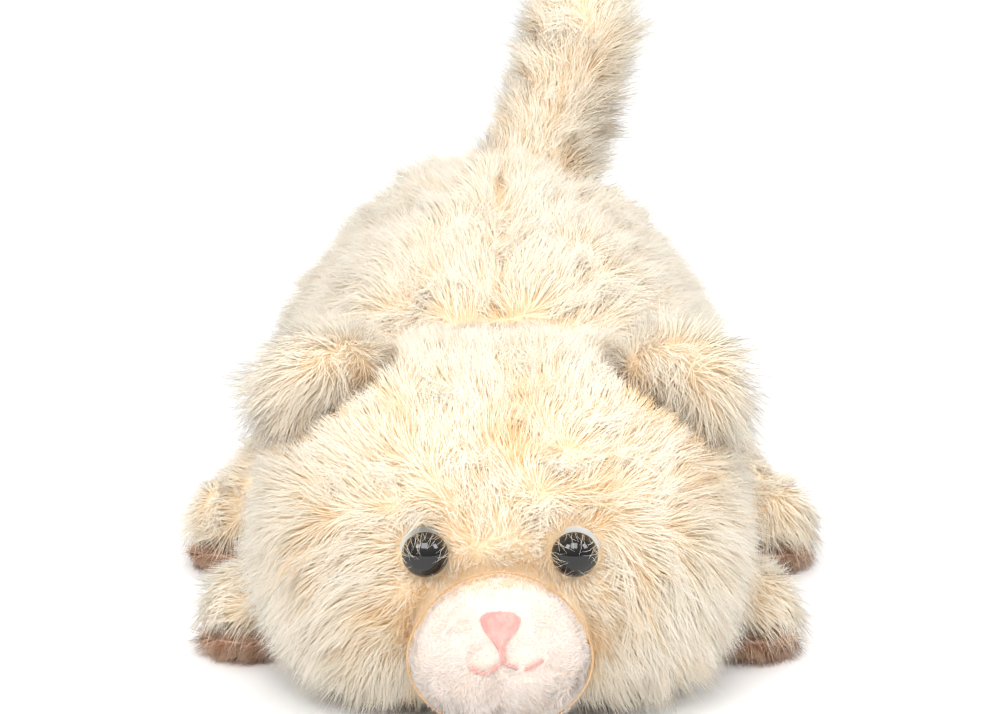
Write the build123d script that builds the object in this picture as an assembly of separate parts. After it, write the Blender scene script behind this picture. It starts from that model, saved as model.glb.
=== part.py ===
"""Plush cat lying on its belly: panels of pile fabric, stuffing, safety eyes, embroidery and seams that bend.

Millimetres, +Z up, face towards -Y. The origin is on the floor, midway between the muzzle and the rump.
The cat's own left is +X. Soft pieces are drawn at their stuffed size, with the pile at its dense height.
"""

from build123d import *
import os
from math import atan2, degrees

# Overall sizes
LENGTH = 248.0  # front of the muzzle to the back of the rump
HEAD_WIDTH = 128.0
HEAD_DEPTH = 90.0
HEAD_HEIGHT = 102.0  # before the chin is pressed flat
HEAD_ROUNDING = 44.0  # radius of the head's rounded sides and corners
HEAD_CENTRE_Z = 47.0
MUZZLE_OUT = 13.5  # how far the muzzle stands in front of the head
CHEST_RADIUS = 54.0
HIP_RADIUS = 68.0
HEAD_TO_CHEST = 25.5  # from the back of the head to the middle of the chest
HIP_TO_RUMP = 62.0
CHEST_BULGE = 40.0  # the chest's dome, before the head's hollow is taken out
BODY_CENTRE_Z = 49.5
FLANK_FLATNESS = 85.5  # the flanks rise to the spine seam on arcs this much larger than the hips
FLANK_CENTRE = (66.0, -19.0)  # across and up, where the other flank's arc has its middle

# Fabric and clearances
PILE = 6.0  # long-pile plush, backing and dense pile together
LIMB_PILE = 5.0
SHORT_PILE = 2.5  # muzzle fabric
THREAD_RISE = 1.2  # how far the nose's satin stitch stands out
MOUTH_RISE = 0.8
SWING_GAP = 0.5  # between soft pieces on different bodies
SEAT_GAP = 0.1  # round the eye's shank and washer

# Seams
GUSSET_HALF_WIDTH = 14.0

# Neck
NECK_RADIUS = 28.0
NECK_CORE_RADIUS = 22.0
NECK_LENGTH = 16.0
HOLLOW_UNDERCUT = 3.0  # the head is this much wider, each side, than the hollow behind it

# Muzzle and face
MUZZLE_HALF = (25.0, 17.0, 20.5)
MUZZLE_Z = 27.0
NOSE_WIDTH = 12.0
NOSE_HEIGHT = 10.5
NOSE_TOP_Z = 43.5
MOUTH_Z = 30.0
MOUTH_REACH = 9.0
MOUTH_DROP = 3.2
MOUTH_STITCH = 1.1
EYE_RADIUS = 6.0
EYE_DOME = 5.0
EYE_SPREAD = 38.0
EYE_Z = 52.5
EYE_SINK = 3.0  # the dome's flat back lies this far under the pile
SHANK_RADIUS = 2.0
WASHER_RADIUS = 6.5
WASHER_THICKNESS = 1.5

# Ears
EAR_RADIUS = 17.5
EAR_THICKNESS = 20.0
EAR_RIM = 9.0  # rounding of the ear's rim
EAR_INSET = 18.5  # from the side of the head to the middle of the ear
EAR_DROP = 12.0  # from the top of the head down to the middle of the ear
EAR_AHEAD = 4.0  # ear's middle ahead of the head's middle
EAR_LEAN = 20.0
EAR_SPLAY = 15.0
EAR_PIVOT_DROP = 6.0
EAR_FLIP = (0.0, 35.0)

# Limbs: the ball's middle and the paw's or tip's middle, and the radii of ball, shaft and end
FRONT_BALL = (-17.0, 12.5, 26.0)  # from the side and the back of the head, and up
FRONT_PAW = (6.0, -21.0, 12.5)
FRONT_RADII = (15.5, 12.5, 14.0)
FRONT_SWING = (0.0, 30.0)
HIND_BALL = (-8.0, -12.0, 26.0)  # from the side and the middle of the hips, and up
HIND_PAW = (11.0, -35.0, 13.5)
HIND_RADII = (17.0, 13.0, 15.0)
HIND_SWING = (-10.0, 25.0)
TAIL_BALL = (5.0, -28.0, -17.5)  # from the rump's end and the top of the hips
TAIL_RISE = (16.0, 7.0, 44.0)
TAIL_RADII = (17.0, 14.0, 14.5)
TAIL_WAG = (-40.0, 15.0)
SOLE_HEEL = 2.5
SOLE_TOE = 8.0
SWING_STEP = 15.0  # hollows for moving pieces are cut at least this often, in degrees

# Weighting
POUCH_RADIUS = 34.0
POUCH_HEIGHT = 15.0
POUCH_AHEAD = 14.0  # of the middle of the hips
POUCH_Z = 20.0
POUCH_CLOTH = 0.8

FRONT_Y = -LENGTH / 2
RUMP_Y = LENGTH / 2
HEAD_BACK_Y = FRONT_Y + MUZZLE_OUT + HEAD_DEPTH
HEAD_Y = HEAD_BACK_Y - HEAD_DEPTH / 2
CHEST_Y = HEAD_BACK_Y + HEAD_TO_CHEST
HIP_Y = RUMP_Y - HIP_TO_RUMP
MUZZLE_Y = FRONT_Y + MUZZLE_HALF[1]
HEAD_HOLLOW_RADIUS = max(HEAD_DEPTH / 2 + NECK_LENGTH, HEAD_WIDTH / 2 - HOLLOW_UNDERCUT)
EAR_X = HEAD_WIDTH / 2 - EAR_INSET
EAR_Z = HEAD_CENTRE_Z + HEAD_HEIGHT / 2 - EAR_DROP
POUCH_CENTRE = (0, HIP_Y - POUCH_AHEAD, POUCH_Z)
HUGE = 2 * LENGTH


def above(z):
    """Everything over a level."""
    return Pos(0, 0, z) * Box(HUGE, HUGE, HUGE, align=(Align.CENTER, Align.CENTER, Align.MIN))


def below(z):
    """Everything under a level."""
    return Pos(0, 0, z) * Box(HUGE, HUGE, HUGE, align=(Align.CENTER, Align.CENTER, Align.MAX))


def beside(x, side):
    """Everything beyond x, on the side given as +1 or -1."""
    start = Align.MIN if side > 0 else Align.MAX
    return Pos(x, 0, 0) * Box(HUGE, HUGE, HUGE, align=(start, Align.CENTER, Align.CENTER))


def ellipse_half(across, up):
    """The right half of an ellipse standing on the turning axis, as a face."""
    arc = EllipticalCenterArc((0, 0), across, up, -90, arc_size=180)
    return make_face([arc, Line((0, up), (0, -up))])


def ellipsoid(centre, half, turn=(0, 0, 0)):
    """A solid ellipsoid with the given half sizes."""
    return Pos(*centre) * Rot(*turn) * scale(Sphere(1), by=half)


def ellipsoid_shell(centre, half, grow):
    """The layer between an ellipsoid and the same one with its two larger sizes moved out by grow."""
    ring = ellipse_half(half[0] + grow, half[2] + grow) - ellipse_half(half[0], half[2])
    turned = revolve(Plane.XZ * ring, axis=Axis.Z)
    return Pos(*centre) * scale(turned, by=(1, half[1] / half[0], 1))


def head_block(grow):
    """The head's outside moved outwards by grow: a block with large rounded sides."""
    block = Box(HEAD_WIDTH + 2 * grow, HEAD_DEPTH + 2 * grow, HEAD_HEIGHT + 2 * grow)
    return Pos(0, HEAD_Y, HEAD_CENTRE_Z) * fillet(block.edges(), HEAD_ROUNDING + grow)


def trunk_outline(grow):
    """Half of the trunk seen from above: chest, hips and rump on one curve, moved out by grow."""
    front = CHEST_Y - CHEST_BULGE - grow
    back = RUMP_Y + grow
    middle = [(CHEST_RADIUS + grow, CHEST_Y), (HIP_RADIUS + grow, HIP_Y)]
    outline = Spline((0, front), *middle, (0, back), tangents=[(1, 0), (-1, 0)])
    return make_face([outline, Line((0, back), (0, front))])


def flanks(grow):
    """The two flatter flanks that meet along the spine seam, moved outwards by grow."""
    across, up = FLANK_CENTRE
    radius = HIP_RADIUS + FLANK_FLATNESS + grow
    left, right = (Pos(side * across, 0, up) * Rot(90, 0, 0) * Cylinder(radius, HUGE) for side in (-1, 1))
    return left & right


def trunk_turned(grow):
    """The trunk moved outwards by grow: its outline turned about the long axis, between the flatter flanks."""
    turned = Pos(0, 0, BODY_CENTRE_Z) * revolve(trunk_outline(grow), axis=Axis.Y)
    return turned & flanks(grow)


def limb_block(root, tip, ball, shaft, end, grow):
    """A ball at the root, a straight shaft and a round end, all moved outwards by grow."""
    span = Vector(*tip) - Vector(*root)
    rod = Cylinder(shaft + grow, span.length, align=(Align.CENTER, Align.CENTER, Align.MIN))
    rod = Plane(origin=root, z_dir=span) * rod
    return Pos(*root) * Sphere(ball + grow) + rod + Pos(*tip) * Sphere(end + grow)


def on_side(point, side):
    """The point on the cat's left (+1) or right (-1)."""
    return (point[0] * side, point[1], point[2])


def swept(shape, pivot, direction, limits):
    """The shape at steps over its swing, as a list of solids that cut its room in a neighbour."""
    low, high = limits
    count = max(1, round((high - low) / SWING_STEP))
    axis = Axis(pivot, direction)
    return [shape.rotate(axis, low + (high - low) * i / count) for i in range(count + 1)]


def without(shape, cutters):
    """The shape less every cutter."""
    for cutter in cutters:
        shape = shape - cutter
    return shape


def leg_places():
    """Each leg's ball, paw, radii and swing, for the cat's left."""
    front = [(HEAD_WIDTH / 2 + x, HEAD_BACK_Y + y, z) for x, y, z in (FRONT_BALL, FRONT_PAW)]
    hind = [(HIP_RADIUS + x, HIP_Y + y, z) for x, y, z in (HIND_BALL, HIND_PAW)]
    return {"front_leg": (*front, FRONT_RADII, FRONT_SWING), "hind_leg": (*hind, HIND_RADII, HIND_SWING)}


def tail_places():
    """The tail's ball and tip."""
    top = BODY_CENTRE_Z + HIP_RADIUS
    ball = (TAIL_BALL[0], RUMP_Y + TAIL_BALL[1], top + TAIL_BALL[2])
    return ball, tuple(a + b for a, b in zip(ball, TAIL_RISE))


class Limb:
    """A stuffed limb on a ball at the body: its skin, its stuffing and the room that its swing needs."""

    def __init__(self, root, tip, radii):
        self.root, self.tip, self.radii = root, tip, radii
        self.whole = limb_block(root, tip, *radii, 0) & above(0)
        self.stuffing = limb_block(root, tip, *radii, -LIMB_PILE) & above(LIMB_PILE)

    def room(self, direction, limits):
        """The solids that cut room for the swing in the body."""
        grown = limb_block(self.root, self.tip, *self.radii, SWING_GAP)
        return swept(grown, self.root, direction, limits)

    def skin(self):
        """The closed skin of a limb without a sole."""
        return self.whole - self.stuffing

    def skin_and_sole(self):
        """The skin, and the sole parted from it along a plane that rises from heel to toe."""
        end = self.radii[-1]
        rise = degrees(atan2(SOLE_TOE - SOLE_HEEL, 2 * end))
        slab = Box(4 * end, 4 * end, 2 * end, align=(Align.CENTER, Align.CENTER, Align.MAX))
        slab = Pos(self.tip[0], self.tip[1] + end, SOLE_HEEL) * Rot(-rise, 0, 0) * slab
        return self.whole - slab - self.stuffing, (self.whole & slab) - self.stuffing


def ear_place(side):
    """The ear's own frame, +Z out of its back: it leans forward and down at its outer end."""
    centre = (side * EAR_X, HEAD_Y - EAR_AHEAD, EAR_Z)
    return Pos(*centre) * Rot(EAR_LEAN - 90, side * EAR_SPLAY, 0)


def ear_block(side, grow):
    """A thick round flap with a soft rim, moved outwards by grow."""
    flap = Cylinder(EAR_RADIUS + grow, EAR_THICKNESS + 2 * grow)
    return ear_place(side) * fillet(flap.edges(), EAR_RIM + grow)


def ear_panels(side):
    """The ear's outer and inner panels, sewn together along the rim."""
    back = ear_place(side) * Box(HUGE, HUGE, HUGE, align=(Align.CENTER, Align.CENTER, Align.MIN))
    flap = ear_block(side, 0)
    return flap & back, flap - back


def ear_room(side):
    """The hollow that an ear needs in the head as it flips back."""
    pivot = (side * EAR_X, HEAD_Y, EAR_Z - EAR_PIVOT_DROP)
    return swept(ear_block(side, SWING_GAP), pivot, (-1, 0, 0), EAR_FLIP)


def eye_place(side):
    """The eye's own frame: its flat back in the head's front, +Z out of the face."""
    front = HEAD_Y - HEAD_DEPTH / 2 + EYE_SINK
    return Plane(origin=(side * EYE_SPREAD / 2, front, EYE_Z), z_dir=(0, -1, 0))


def eye_pieces(side):
    """The safety eye in one piece with its shank, its washer, and the hollows that they need."""
    washer_at = PILE - EYE_SINK
    shank_length = washer_at + WASHER_THICKNESS + SHANK_RADIUS
    dome = scale(Sphere(1), by=(EYE_RADIUS, EYE_RADIUS, EYE_DOME)) & above(0)
    down = (Align.CENTER, Align.CENTER, Align.MAX)
    shank = Cylinder(SHANK_RADIUS, shank_length, align=down)
    disc = Pos(0, 0, -washer_at) * Cylinder(WASHER_RADIUS, WASHER_THICKNESS, align=down)
    bore = Cylinder(SHANK_RADIUS + SEAT_GAP, HUGE)
    washer = disc - bore
    seat = Cylinder(EYE_RADIUS + SEAT_GAP, 4 * EYE_SINK, align=(Align.CENTER, Align.CENTER, Align.MIN))
    shank_room = Cylinder(SHANK_RADIUS + SEAT_GAP, shank_length + SEAT_GAP, align=down)
    place = eye_place(side)
    return place * (dome + shank), place * washer, [place * seat, place * shank_room, place * disc]


def face_relief(sketch, rise):
    """A sketch in X and Z pressed on the muzzle's front, standing out of it by rise."""
    bar = extrude(Plane(origin=(0, MUZZLE_Y, 0), x_dir=(1, 0, 0), z_dir=(0, -1, 0)) * sketch, HUGE / 8)
    return bar & ellipsoid_shell((0, MUZZLE_Y, MUZZLE_Z), MUZZLE_HALF, rise)


def nose_sketch():
    """An upside-down triangle with rounded corners."""
    tip = (0, NOSE_TOP_Z - NOSE_HEIGHT)
    half = NOSE_WIDTH / 2
    shape = make_face(Polyline((-half, NOSE_TOP_Z), (half, NOSE_TOP_Z), tip, close=True))
    return fillet(shape.vertices(), NOSE_WIDTH / 10)


def mouth_sketch():
    """The stitch below the nose and two short curves to the sides."""
    start = (0, MOUTH_Z)
    lines = [Line((0, NOSE_TOP_Z - NOSE_HEIGHT - MOUTH_STITCH), start)]
    for side in (-1, 1):
        low = (side * MOUTH_REACH / 2, MOUTH_Z - MOUTH_DROP)
        lines.append(ThreePointArc(start, low, (side * MOUTH_REACH, MOUTH_Z - MOUTH_DROP / 2)))
    return trace(lines, line_width=MOUTH_STITCH)


def head_nodes():
    """Skin panels, stuffing, muzzle, eyes and embroidery."""
    nodes = {}
    outside = head_block(0) & above(0)
    rooms = ear_room(1) + ear_room(-1)
    eye_rooms = []
    for side, name in ((1, "left"), (-1, "right")):
        eye, washer, hollows = eye_pieces(side)
        nodes[f"eye_{name}"] = eye
        nodes[f"eye_washer_{name}"] = washer
        eye_rooms += hollows
    inside = head_block(-PILE) & above(PILE)
    skin = without((outside & above(PILE)) - inside, rooms + eye_rooms)
    nodes["head_stuffing"] = without(inside, rooms + eye_rooms)
    nodes["chin_panel"] = outside & below(PILE)
    strip = beside(-GUSSET_HALF_WIDTH, 1) & beside(GUSSET_HALF_WIDTH, -1)
    nodes["head_gusset"] = skin & strip
    nodes["head_side_left"] = skin & beside(GUSSET_HALF_WIDTH, 1)
    nodes["head_side_right"] = skin & beside(-GUSSET_HALF_WIDTH, -1)
    centre = (0, MUZZLE_Y, MUZZLE_Z)
    wide, deep, tall = MUZZLE_HALF
    core_half = (wide - SHORT_PILE, (wide - SHORT_PILE) * deep / wide, tall - SHORT_PILE)
    nodes["muzzle_cover"] = ellipsoid_shell(centre, core_half, SHORT_PILE) - outside
    nodes["muzzle_stuffing"] = ellipsoid(centre, core_half) - outside
    nodes["nose_embroidery"] = face_relief(nose_sketch(), THREAD_RISE)
    nodes["mouth_embroidery"] = face_relief(mouth_sketch(), MOUTH_RISE)
    return nodes


def neck_nodes():
    """The neck's sleeve and its stuffing, between the head's back and the hollow in the chest."""
    along = Plane(origin=(0, HEAD_Y, HEAD_CENTRE_Z), z_dir=(0, 1, 0))
    outward = (Align.CENTER, Align.CENTER, Align.MIN)
    hollow = Pos(0, HEAD_Y, HEAD_CENTRE_Z) * Sphere(HEAD_HOLLOW_RADIUS - SWING_GAP)
    plug = (along * Cylinder(NECK_RADIUS, HEAD_DEPTH, align=outward)) & hollow
    plug = plug - head_block(SWING_GAP)
    core = along * Cylinder(NECK_CORE_RADIUS, HEAD_DEPTH, align=outward)
    return {"neck_sleeve": plug - core, "neck_stuffing": plug & core}


def trunk_nodes(limb_rooms):
    """Back panels, belly panel, stuffing and the weighting pouch."""
    hollow = Pos(0, HEAD_Y, HEAD_CENTRE_Z) * Sphere(HEAD_HOLLOW_RADIUS)
    rooms = [hollow] + limb_rooms
    outside = trunk_turned(0)
    inside = trunk_turned(-PILE) & above(PILE)
    skin = without((outside & above(PILE)) - inside, rooms)
    belly = outside & above(0) & below(PILE)
    pouch = Pos(*POUCH_CENTRE) * Cylinder(POUCH_RADIUS, POUCH_HEIGHT)
    pouch = fillet(pouch.edges(), POUCH_HEIGHT / 3)
    pellets = Pos(*POUCH_CENTRE) * Cylinder(POUCH_RADIUS - POUCH_CLOTH, POUCH_HEIGHT - 2 * POUCH_CLOTH)
    pellets = fillet(pellets.edges(), POUCH_HEIGHT / 3 - POUCH_CLOTH)
    return {
        "back_panel_left": skin & beside(0, 1),
        "back_panel_right": skin & beside(0, -1),
        "belly_panel": without(belly, rooms),
        "body_stuffing": without(inside, rooms) - pouch,
        "pellet_pouch": pouch - pellets,
        "pellet_fill": pellets,
    }


def main():
    """Builds every node and writes one STEP file for each."""
    nodes = head_nodes() | neck_nodes()
    rooms = []
    for side, name in ((1, "left"), (-1, "right")):
        nodes[f"ear_{name}_outer"], nodes[f"ear_{name}_inner"] = ear_panels(side)
    for kind, (root, tip, radii, limits) in leg_places().items():
        for side in (1, -1):
            rooms += Limb(on_side(root, side), on_side(tip, side), radii).room((0, 0, side), limits)
        right = Limb(on_side(root, -1), on_side(tip, -1), radii)
        pieces = dict(zip(("skin", "sole"), right.skin_and_sole())) | {"stuffing": right.stuffing}
        for piece, shape in pieces.items():
            nodes[f"{kind}_right_{piece}"] = shape
            nodes[f"{kind}_left_{piece}"] = mirror(shape, about=Plane.YZ)
    tail = Limb(*tail_places(), TAIL_RADII)
    rooms += tail.room((0, 1, 0), TAIL_WAG)
    nodes["tail_skin"] = tail.skin()
    nodes["tail_stuffing"] = tail.stuffing
    nodes |= trunk_nodes(rooms)
    os.makedirs("parts", exist_ok=True)
    for name, shape in nodes.items():
        export_step(shape, f"parts/{name}.step")


main()
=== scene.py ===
"""Looks of a plush cat lying on its belly.

It has stuffed skins, real pile fibres, a stitched nose and mouth, and safety eyes.
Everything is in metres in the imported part's own frame: +Z up, the face towards -Y,
the cat's own left at +X.
"""

import logging
import math
from dataclasses import dataclass, field
from enum import Enum
from typing import Callable

import bmesh
import bpy
import numpy as np
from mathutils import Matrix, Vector
from mathutils.bvhtree import BVHTree

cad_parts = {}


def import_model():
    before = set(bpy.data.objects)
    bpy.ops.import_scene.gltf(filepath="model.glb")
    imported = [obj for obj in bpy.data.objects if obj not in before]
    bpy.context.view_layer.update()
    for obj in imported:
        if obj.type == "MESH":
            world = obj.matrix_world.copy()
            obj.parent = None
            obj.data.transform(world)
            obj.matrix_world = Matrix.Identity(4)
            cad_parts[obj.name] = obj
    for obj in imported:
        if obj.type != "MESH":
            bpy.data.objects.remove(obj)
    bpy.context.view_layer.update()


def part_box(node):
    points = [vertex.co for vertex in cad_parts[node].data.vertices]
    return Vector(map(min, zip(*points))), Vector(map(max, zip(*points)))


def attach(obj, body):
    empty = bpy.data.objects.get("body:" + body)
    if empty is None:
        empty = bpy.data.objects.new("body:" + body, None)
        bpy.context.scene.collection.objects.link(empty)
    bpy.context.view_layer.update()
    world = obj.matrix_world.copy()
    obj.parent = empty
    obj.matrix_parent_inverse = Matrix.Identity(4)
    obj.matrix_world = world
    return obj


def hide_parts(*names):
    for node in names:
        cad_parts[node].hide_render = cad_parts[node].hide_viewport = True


MM = 0.001
FIBRES_PER_PIECE = 21500
MUZZLE_CROWN = 4.5 * MM  # how far the velvet runs up between the eyes, over its stuffing
LOG = logging.getLogger("plush_cat")

Colour = tuple[float, float, float]


class Slot(Enum):
    """The record's material slots; no piece here is given one."""

    LONG_PILE = "long_pile_plush"
    SHORT_PILE = "short_pile_plush"
    SOLE = "sole_suede"
    THREAD = "embroidery_thread"
    POUCH = "pouch_cotton"
    PELLETS = "pellets"


class Side(Enum):
    """The cat's own sides, as the sign of X."""

    LEFT = 1
    RIGHT = -1

    @property
    def word(self) -> str:
        """The side as it is written in node and body names."""
        return self.name.lower()


# --- Numbers and vectors ---------------------------------------------------------------------------------


def unit(v: np.ndarray) -> np.ndarray:
    """Scales each row to length 1."""
    return v / np.maximum(np.linalg.norm(v, axis=-1, keepdims=True), 1e-9)


def tangential(v: np.ndarray, normal: np.ndarray) -> np.ndarray:
    """The part of each row of v that lies in the surface with that normal."""
    return v - np.sum(v * normal, axis=1, keepdims=True) * normal


def ramp(value: np.ndarray, low: float, high: float) -> np.ndarray:
    """A smooth step from 0 at low to 1 at high.

    Args:
        value: The numbers to place.
        low: Where the step starts; it may be above high for a falling step.
        high: Where it ends.

    Returns:
        Numbers from 0 to 1.
    """
    t = np.clip((value - low) / (high - low), 0.0, 1.0)
    return t * t * (3.0 - 2.0 * t)


def bump_at(value: np.ndarray, centre: float, half_width: float) -> np.ndarray:
    """A smooth hump of height 1 around centre."""
    return np.exp(-(((value - centre) / half_width) ** 2))


def drift(points: np.ndarray, wavelength: float, seed: int, waves: int = 7) -> np.ndarray:
    """A smooth vector field with no repeat in sight, for tufts and swirls.

    Args:
        points: Places, one a row.
        wavelength: Size of the field's features, in metres.
        seed: Chooses the field.
        waves: How many waves are added up.

    Returns:
        One vector a row, each part about -1 to 1.
    """
    rng = np.random.default_rng(seed)
    k = rng.normal(size=(waves, 3))
    k = unit(k) * (2.0 * math.pi / wavelength) * rng.uniform(0.7, 1.4, (waves, 1))
    phase = rng.uniform(0.0, 2.0 * math.pi, (waves, 3))
    gain = rng.normal(size=(waves, 3)) / math.sqrt(waves)
    angle = points @ k.T
    return sum(gain[i] * np.sin(angle[:, i : i + 1] + phase[i]) for i in range(waves)) * 1.4


def centre_of(*nodes: str) -> np.ndarray:
    """The middle of the box round some CAD nodes."""
    boxes = [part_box(n) for n in nodes]
    low = np.min([np.array(b[0]) for b in boxes], axis=0)
    high = np.max([np.array(b[1]) for b in boxes], axis=0)
    return (low + high) / 2.0


def linear(*srgb: int) -> Colour:
    """A colour given as 0 to 255 in sRGB, as linear light."""
    return tuple((c / 255.0 / 12.92) if c <= 10 else ((c / 255.0 + 0.055) / 1.055) ** 2.4 for c in srgb)


# --- Shader building -------------------------------------------------------------------------------------


class Recipe:
    """Adds and joins nodes in one material or node group."""

    def __init__(self, tree: bpy.types.NodeTree) -> None:
        """Starts from an empty tree."""
        self.tree = tree
        tree.nodes.clear()

    def add(self, kind: str, inputs: dict | None = None, **settings: object) -> bpy.types.Node:
        """Adds a node.

        Args:
            kind: The node's type, without the leading "ShaderNode" where it has one.
            inputs: Socket name or number to a value, or to the socket that feeds it.
            **settings: The node's own properties.

        Returns:
            The new node.
        """
        full = kind if kind.startswith("Node") else "ShaderNode" + kind
        node = self.tree.nodes.new(full)
        for name, value in settings.items():
            setattr(node, name, value)
        for socket, value in (inputs or {}).items():
            if isinstance(value, bpy.types.NodeSocket):
                self.tree.links.new(value, node.inputs[socket])
            else:
                node.inputs[socket].default_value = value
        return node

    def colours(
        self, factor: bpy.types.NodeSocket, stops: list[tuple[float, Colour]]
    ) -> bpy.types.NodeSocket:
        """A colour ramp.

        Args:
            factor: What it reads.
            stops: Place and colour of each stop, in order.

        Returns:
            The ramp's colour.
        """
        node = self.add("ValToRGB", {"Fac": factor})
        elements = node.color_ramp.elements
        while len(elements) < len(stops):
            elements.new(0.5)
        for element, (place, colour) in zip(elements, stops):
            element.position = place
            element.color = (*colour, 1.0)
        return node.outputs["Color"]

    def mixed(self, way: str, factor: object, a: object, b: object) -> bpy.types.NodeSocket:
        """Two colours mixed.

        Args:
            way: The blend mode, such as MULTIPLY.
            factor: How much of it, a number or a socket.
            a: The first colour.
            b: The second colour.

        Returns:
            The mixed colour.
        """
        node = self.add("Mix", {}, data_type="RGBA", blend_type=way)
        for index, value in ((0, factor), (6, a), (7, b)):
            if isinstance(value, bpy.types.NodeSocket):
                self.tree.links.new(value, node.inputs[index])
            else:
                node.inputs[index].default_value = (*value, 1.0) if isinstance(value, tuple) else value
        return node.outputs[2]

    def number(self, way: str, a: object, b: object) -> bpy.types.NodeSocket:
        """A sum, product or other arithmetic of two numbers or sockets."""
        return self.add("Math", {0: a, 1: b}, operation=way).outputs[0]


def new_group(name: str, inputs: dict[str, tuple[str, object]], outputs: dict[str, str]) -> tuple:
    """Starts a shader node group.

    Args:
        name: The group's name.
        inputs: Socket name to its type and default value.
        outputs: Socket name to its type.

    Returns:
        The group, its recipe, its input node and its output node.
    """
    tree = bpy.data.node_groups.new(name, "ShaderNodeTree")
    recipe = Recipe(tree)
    for label, (kind, value) in inputs.items():
        socket = tree.interface.new_socket(name=label, in_out="INPUT", socket_type=kind)
        if value is not None:
            socket.default_value = value
    for label, kind in outputs.items():
        tree.interface.new_socket(name=label, in_out="OUTPUT", socket_type=kind)
    return tree, recipe, recipe.add("NodeGroupInput"), recipe.add("NodeGroupOutput")


class Effects:
    """The shader node groups that several finishes share."""

    def __init__(self) -> None:
        """Builds the three groups."""
        self.flecks = self._flecks()
        self.weave = self._weave()
        self.patches = self._patches()

    @staticmethod
    def _flecks() -> bpy.types.NodeTree:
        """Fine fibre flecks.

        Returns:
            A group that puts out a shade around 1 and a height.
        """
        tree, r, start, end = new_group(
            "fibre_flecks",
            {
                "Place": ("NodeSocketVector", None),
                "Scale": ("NodeSocketFloat", 1500.0),
                "Strength": ("NodeSocketFloat", 0.1),
            },
            {"Shade": "NodeSocketFloat", "Height": "NodeSocketFloat"},
        )
        fine = r.add("TexNoise", {"Vector": start.outputs[0], "Scale": start.outputs[1], "Detail": 3.0})
        swing = r.number("MULTIPLY", r.number("SUBTRACT", fine.outputs["Fac"], 0.5), start.outputs[2])
        r.tree.links.new(r.number("ADD", swing, 1.0), end.inputs["Shade"])
        r.tree.links.new(fine.outputs["Fac"], end.inputs["Height"])
        return tree

    @staticmethod
    def _weave() -> bpy.types.NodeTree:
        """Plain over-and-under weave.

        Returns:
            A group that puts out a thread mask and a height.
        """
        tree, r, start, end = new_group(
            "plain_weave",
            {"Place": ("NodeSocketVector", None), "Threads": ("NodeSocketFloat", 900.0)},
            {"Mask": "NodeSocketFloat", "Height": "NodeSocketFloat"},
        )
        bands = []
        for direction in ("X", "Z"):
            wave = r.add(
                "TexWave", {"Vector": start.outputs[0], "Scale": start.outputs[1], "Distortion": 0.6}
            )
            wave.bands_direction = direction
            bands.append(wave.outputs["Fac"])
        cloth = r.number("MAXIMUM", bands[0], bands[1])
        r.tree.links.new(r.number("MULTIPLY", bands[0], bands[1]), end.inputs["Mask"])
        r.tree.links.new(cloth, end.inputs["Height"])
        return tree

    @staticmethod
    def _patches() -> bpy.types.NodeTree:
        """Soft uneven colour, as handled plush has.

        Returns:
            A group that mixes two colours in broad patches.
        """
        tree, r, start, end = new_group(
            "soft_patches",
            {
                "Place": ("NodeSocketVector", None),
                "Scale": ("NodeSocketFloat", 40.0),
                "Light": ("NodeSocketColor", (1, 1, 1, 1)),
                "Deep": ("NodeSocketColor", (1, 1, 1, 1)),
            },
            {"Colour": "NodeSocketColor"},
        )
        broad = r.add("TexNoise", {"Vector": start.outputs[0], "Scale": start.outputs[1], "Detail": 2.0})
        spread = r.add("MapRange", {0: broad.outputs["Fac"], 1: 0.35, 2: 0.65})
        mixed = r.mixed("MIX", spread.outputs[0], start.outputs[2], start.outputs[3])
        r.tree.links.new(mixed, end.inputs["Colour"])
        return tree


@dataclass(frozen=True)
class PileFinish:
    """Dyed pile fibre, pale at the tip; its warm root colour is painted shade deep in the pile, and each
    fibre has its own tint, which painted shade in creases pulls warm.
    """

    name: str
    # root is painted shade deep in the pile; warm is painted shade in creases and hollows
    root: Colour
    middle: Colour
    tip: Colour
    warm: Colour
    pale: Colour
    sheen: float = 0.12

    def make(self, effects: Effects) -> bpy.types.Material:
        """Builds the material.

        Args:
            effects: The shared node groups.

        Returns:
            The material. It reads a fibre's tint from U and the way along it from V.
        """
        material = bpy.data.materials.new(self.name)
        material.use_nodes = True
        r = Recipe(material.node_tree)
        uv = r.add("UVMap", uv_map="OFBake")
        split = r.add("SeparateXYZ", {0: uv.outputs[0]})
        tint, along = split.outputs[0], split.outputs[1]
        # root to tip: the warm root colour is painted shade deep in the pile
        lengthwise = r.colours(along, [(0.05, self.root), (0.45, self.middle), (0.9, self.tip)])
        # tint ramp: the warm end is painted shade in creases and hollows, the rest is each fibre's own tone
        tint_and_crease_shade = r.colours(tint, [(0.05, self.warm), (0.5, (1.0, 1.0, 1.0)), (0.95, self.pale)])
        stretched = r.add("Mapping", {"Vector": uv.outputs[0], "Scale": (300.0, 9.0, 1.0)})
        flecks = r.add(
            "Group", {"Place": stretched.outputs[0], "Scale": 1.0, "Strength": 0.12}, node_tree=effects.flecks
        )
        base = r.mixed("MULTIPLY", 1.0, lengthwise, tint_and_crease_shade)
        shaded = r.add("HueSaturation", {"Color": base, "Value": flecks.outputs["Shade"]})
        rough = r.add("MapRange", {0: along, 1: 0.0, 2: 1.0, 3: 0.85, 4: 0.55})
        bump = r.add("Bump", {"Height": flecks.outputs["Height"], "Strength": 0.08, "Distance": 0.0001})
        shader = r.add(
            "BsdfPrincipled",
            {
                "Base Color": shaded.outputs[0],
                "Roughness": rough.outputs[0],
                "Normal": bump.outputs[0],
                "Sheen Weight": self.sheen,
                "Sheen Roughness": 0.5,
                "Specular IOR Level": 0.18,
            },
        )
        r.tree.links.new(shader.outputs[0], r.add("OutputMaterial").inputs[0])
        return material


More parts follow.
